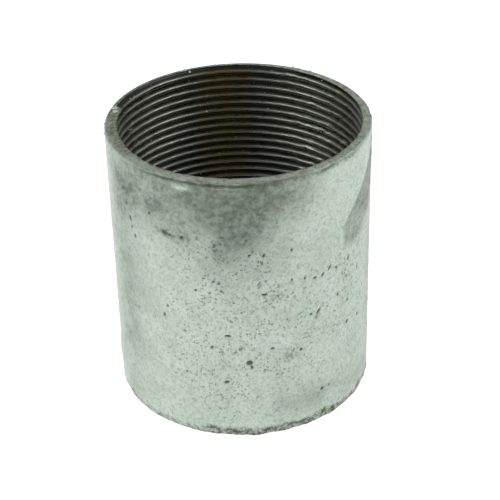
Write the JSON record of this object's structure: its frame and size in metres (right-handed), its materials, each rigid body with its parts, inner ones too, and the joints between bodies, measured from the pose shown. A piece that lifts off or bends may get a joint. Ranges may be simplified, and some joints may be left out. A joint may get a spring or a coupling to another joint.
{
  "type": "threaded pipe sleeve coupling",
  "caption": "Straight galvanised steel sleeve, threaded right through with a parallel right-hand pipe thread, that joins two threaded pipes or conduits end to end.",
  "frame": {"origin": "centre of the bottom end face, where it stands", "axes": "+Z along the bore axis, from the bottom end face to the top one; the thread's own start marks no other direction"},
  "size_m": [0.068, 0.068, 0.0754],
  "materials": {
    "zinc": "matte",
    "bare_steel": "satin"
  },
  "bodies": {
    "root": {"threaded_sleeve": "bare_steel", "zinc_coat": "zinc"}
  },
  "joints": []
}
